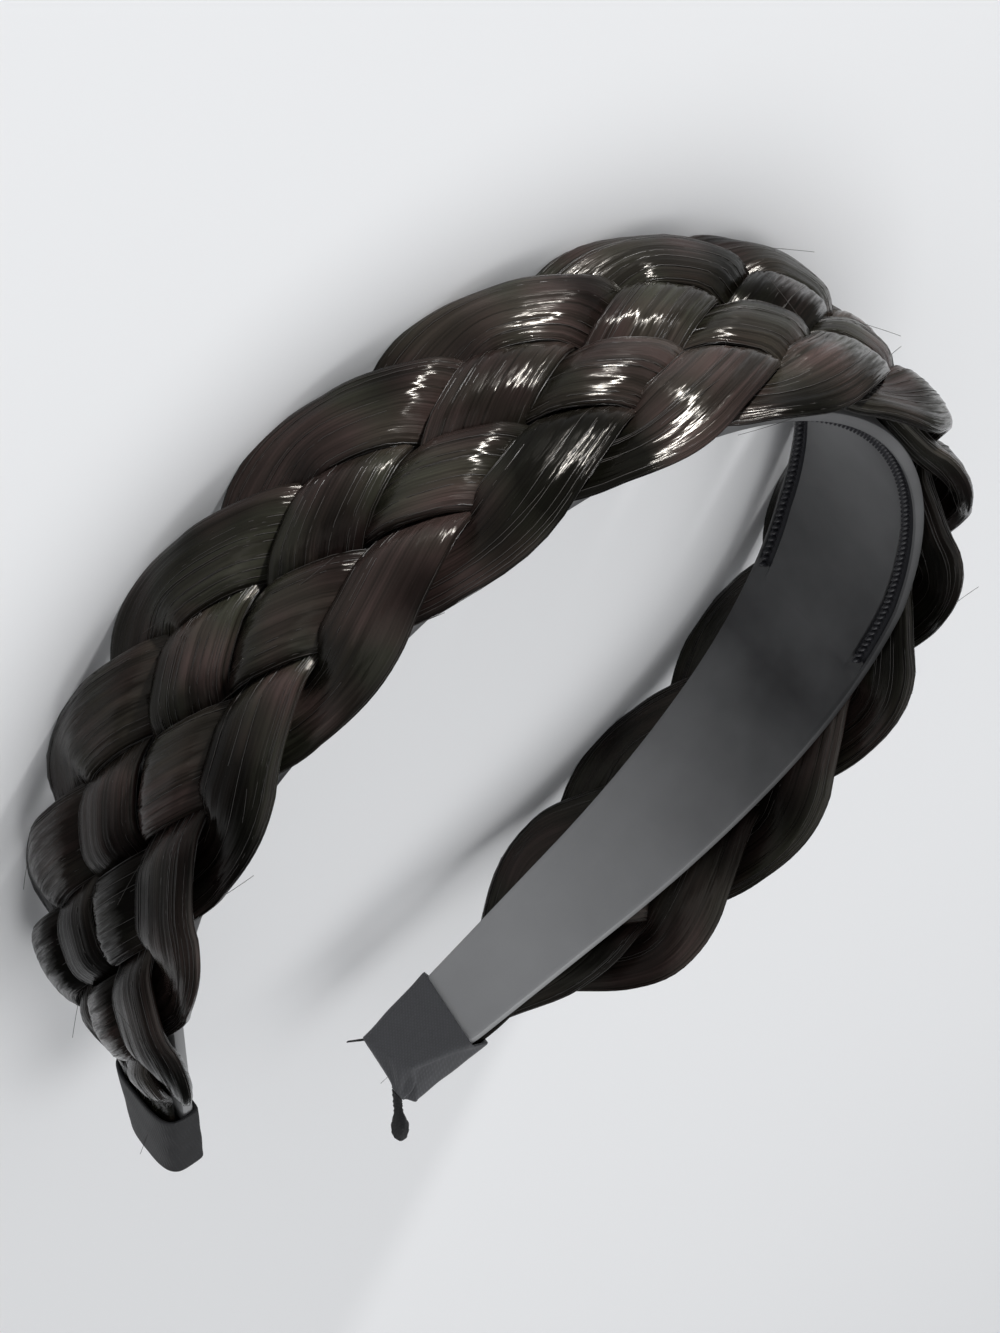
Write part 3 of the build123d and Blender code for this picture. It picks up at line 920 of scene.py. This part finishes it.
def makeSleeve(name, side, material, gathered):
    kind = "gathered" if gathered else "folded"
    endLength, endSize = sleeve[kind + "Length"], sleeve[kind + "Size"]
    drop = sleeve["gatheredDrop"] if gathered else 0.0
    random = np.random.default_rng(sleeve["seed"] + side)
    angle = anglesAround(sleeve["sides"])
    mouth, deep = thinEnd, bandHalf + sleeve["slack"]
    wall, slack = sleeve["wall"], sleeve["slack"]
    rows = [(mouth + past, slack * loose + wall * thick, 0.0) for past, loose, thick in sleeve["rim"]]
    rows += [(run, slack + wall, 0.0) for run in np.linspace(mouth + sleeve["rimEnd"], deep, sleeve["rings"])]
    for share in np.linspace(0, 1, sleeve["endRings"] + 1)[1:]:
        closed = ease(share) if gathered else share ** sleeve["foldedPower"]
        rows.append((deep + endLength * share, slack + wall, closed))
    phases = random.uniform(0, fullTurn, len(sleeve["creases"]) + 1)
    strandEnd = np.array(bandHalf - plait["endInset"])
    rings = []
    for run, grown, closed in rows:
        wide = halfWidthAt(min(run, bandHalf)) + grown
        low, high = band["wall"] + grown, bundleHeight(np.array(min(run, bandHalf))) + grown
        wide, low, high = (size + (endSize / 2 - size) * closed for size in (wide, low, high))
        sine, cosine = np.sin(angle), np.cos(angle)
        squareness = np.where(sine > 0, sleeve["strandSquareness"], sleeve["flatSquareness"])
        corner = 2 / (1 - squareness * (1 - closed))
        reach = (np.abs(cosine) ** corner + np.abs(sine) ** corner) ** (-1 / corner)
        across, out = wide * cosine * reach, np.where(sine > 0, high, low) * sine * reach
        shift = 0.0
        if gathered:
            share, facing = np.clip((run - mouth) / (deep - mouth), 0, 1), (cosine * reach + 1) / 2
            flat = np.clip(0.5 - sine, 0, 1)  # the strands fill the other side
            narrowing = sleeve["frontNarrowing"] * flat * share * (1 - closed)
            across = np.where(across > 0, across * (1 - narrowing), across)
            back = sleeve["mouthBack"] + (sleeve["endBack"] - sleeve["mouthBack"]) * share
            front = sleeve["mouthFront"] + (sleeve["endFront"] - sleeve["mouthFront"]) * share
            shift = back + (front - back) * facing * flat
            shift = shift + (sleeve["neckShift"] - shift) * closed
        crease = 0
        for (count, quickness, depth), phase in zip(sleeve["creases"], phases):
            crease = crease + depth * np.sin(count * angle + run * quickness + phase)
        swell = 1 + sleeve["creaseDepth"] * crease / max(wide, sleeve["creasedWidth"]) * (grown > slack)
        if gathered:
            pleat = sleeve["pleatDepth"] * 4 * closed * (1 - closed)  # deepest half way to the neck
            swell = swell * (1 + pleat * np.sin(sleeve["pleats"] * angle + phases[-1]))
        centre = band["wall"] + closed * bundleHeight(strandEnd) / 2
        rings.append(placeOn(side * (run + shift), centre + out * swell, side * (across * swell + drop * closed)))
    return skin(name, np.array(rings), material)


def makeTail(side):
    start = bandHalf + sleeve["slack"] + sleeve["neckShift"] + sleeve["gatheredLength"] + tail["gap"]
    centre = band["wall"] + bundleHeight(np.array(bandHalf - plait["endInset"])) / 2
    share = np.linspace(0, 1, tail["rings"])[:, None]
    angle = anglesAround(tail["sides"])[None, :]
    widths = np.interp(share, *zip(*tail["outline"]))
    wound = np.sin(share * 2 * math.pi * tail["windings"] / tail["woundShare"]) * (share < tail["woundShare"])
    fray = 1
    for count, twist, depth in tail["frays"]:
        fray = fray + depth * np.sin(count * angle + twist * share)
    radius = (tail["diameter"] / 2 * widths) * fray + tail["windingDepth"] * np.maximum(0, wound)
    lean = math.radians(tail["lean"])
    turn, beside = lean * np.clip(share / tail["turnShare"], 0, 1), radius * np.cos(angle)
    run = start + share * tail["length"] * math.cos(lean) - beside * np.sin(turn)
    across = sleeve["gatheredDrop"] + share * tail["length"] * math.sin(lean) + beside * np.cos(turn)
    rings = placeOn(side * run, centre + radius * np.sin(angle), side * across)
    return skin("tied_tail_detail", rings, darkAndShadedClothMaterial)


def makeStub(side):  # short end of thread at the gathered sleeve's back corner
    share = np.linspace(0, 1, stub["rings"])[:, None]
    angle = anglesAround(stub["sides"])[None, :]
    radius = stub["radius"] * (1 - stub["taper"] * share)
    run = bandHalf + sleeve["endBack"] + stub["length"] * stub["along"] * share
    across = -side * (halfWidthAt(bandHalf) + sleeve["slack"] + stub["length"] * stub["across"] * share)
    rings = placeOn(side * (run + radius * np.cos(angle)), stub["out"] + radius * np.sin(angle), across)
    return skin("thread_stub", rings, darkAndShadedClothMaterial)


# the left sleeve takes the darker cloth as painted shade
leftSleeve = makeSleeve("left_sleeve_detail", -1, darkAndShadedClothMaterial, gathered=False)
rightSleeve = makeSleeve("right_sleeve_detail", 1, clothMaterial, gathered=True)
tailPiece, stubPiece = makeTail(1), makeStub(1)
print("sleeves and tail made")

# Floor, light and the closing calls

studio = {
    "floorSize": 3.0,
    "floorColour": (0.82, 0.825, 0.835),
    "palerFloor": 1.03,
    "floorRoughness": 0.9,
    "worldColour": (0.95, 0.97, 1.0),
    "worldStrength": 0.44,
    "darkStrength": 0.08,
    "brightSide": (-0.3, 0.8, 0.5),
    "brightSpread": (-0.5, 0.5),
}


def makeStudio():
    size = studio["floorSize"]
    mesh = bpy.data.meshes.new("floor")
    mesh.from_pydata([(-size, -size, 0), (size, -size, 0), (size, size, 0), (-size, size, 0)], [], [(0, 1, 2, 3)])
    floor = bpy.data.objects.new("floor", mesh)
    bpy.context.scene.collection.objects.link(floor)
    n = Nodes("pale_floor")
    soft = n.noise(n.add("ShaderNodeTexCoord").outputs["Object"], scale=3, detail=1)
    paler = tuple(c * studio["palerFloor"] for c in studio["floorColour"])
    n.put("Base Color", n.blendColours(soft, studio["floorColour"], paler))
    n.put("Roughness", studio["floorRoughness"])
    mesh.materials.append(n.material)
    world = bpy.data.worlds.new("studio_world")
    world.use_nodes = True
    tree = world.node_tree
    direction = addNode(tree, "ShaderNodeTexCoord").outputs["Generated"]
    facing = addNode(tree, "ShaderNodeVectorMath", operation="DOT_PRODUCT")
    feed(tree, facing.inputs[0], direction)
    feed(tree, facing.inputs[1], studio["brightSide"])
    low, high = studio["brightSpread"]
    strength = addNode(tree, "ShaderNodeMapRange", {
        "Value": facing.outputs["Value"], "From Min": low, "From Max": high,
        "To Min": studio["darkStrength"], "To Max": studio["worldStrength"]})
    background = tree.nodes["Background"]
    background.inputs["Color"].default_value = (*studio["worldColour"], 1)
    feed(tree, background.inputs["Strength"], strength.outputs["Result"])
    bpy.context.scene.world = world
    bpy.context.scene.view_settings.view_transform = "Standard"


lamps = {
    # name: place, aimed at, width, depth, watts
    "softbox": ((0.1, -0.1, 1.1), (0, 0, 0), 1.2, 1.2, 7.6),
    "streak": ((-0.06, 1.20, 0.06), (-0.02, 0.05, 0.02), 0.07, 0.06, 40.0),
    "fill": ((-0.9, 0.3, 0.5), (0, 0, 0), 0.6, 0.6, 1.2),
}


def makeLamps():
    for name, (place, target, width, depth, watts) in lamps.items():
        data = bpy.data.lights.new(name, "AREA")
        data.shape, data.size, data.size_y, data.energy = "RECTANGLE", width, depth, watts
        lamp = bpy.data.objects.new(name, data)
        lamp.location = place
        lamp.rotation_euler = (Vector(target) - Vector(place)).to_track_quat("-Z", "Y").to_euler()
        bpy.context.scene.collection.objects.link(lamp)


makeStudio()
makeLamps()
for piece in [bandPiece, teethPiece, *combStrips, *strandPieces, *hairEndPieces, *finePieces, *loosePieces,
              leftSleeve, rightSleeve, tailPiece, stubPiece]:
    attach(piece, "root")
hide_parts("plastic_band")
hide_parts("left_end_sleeve")
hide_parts("right_end_sleeve")
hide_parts("right_tied_tail")
for number, piece in enumerate(strandPieces):
    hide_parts(f"strand_{number + 1}")
print("pieces joined to the frame")
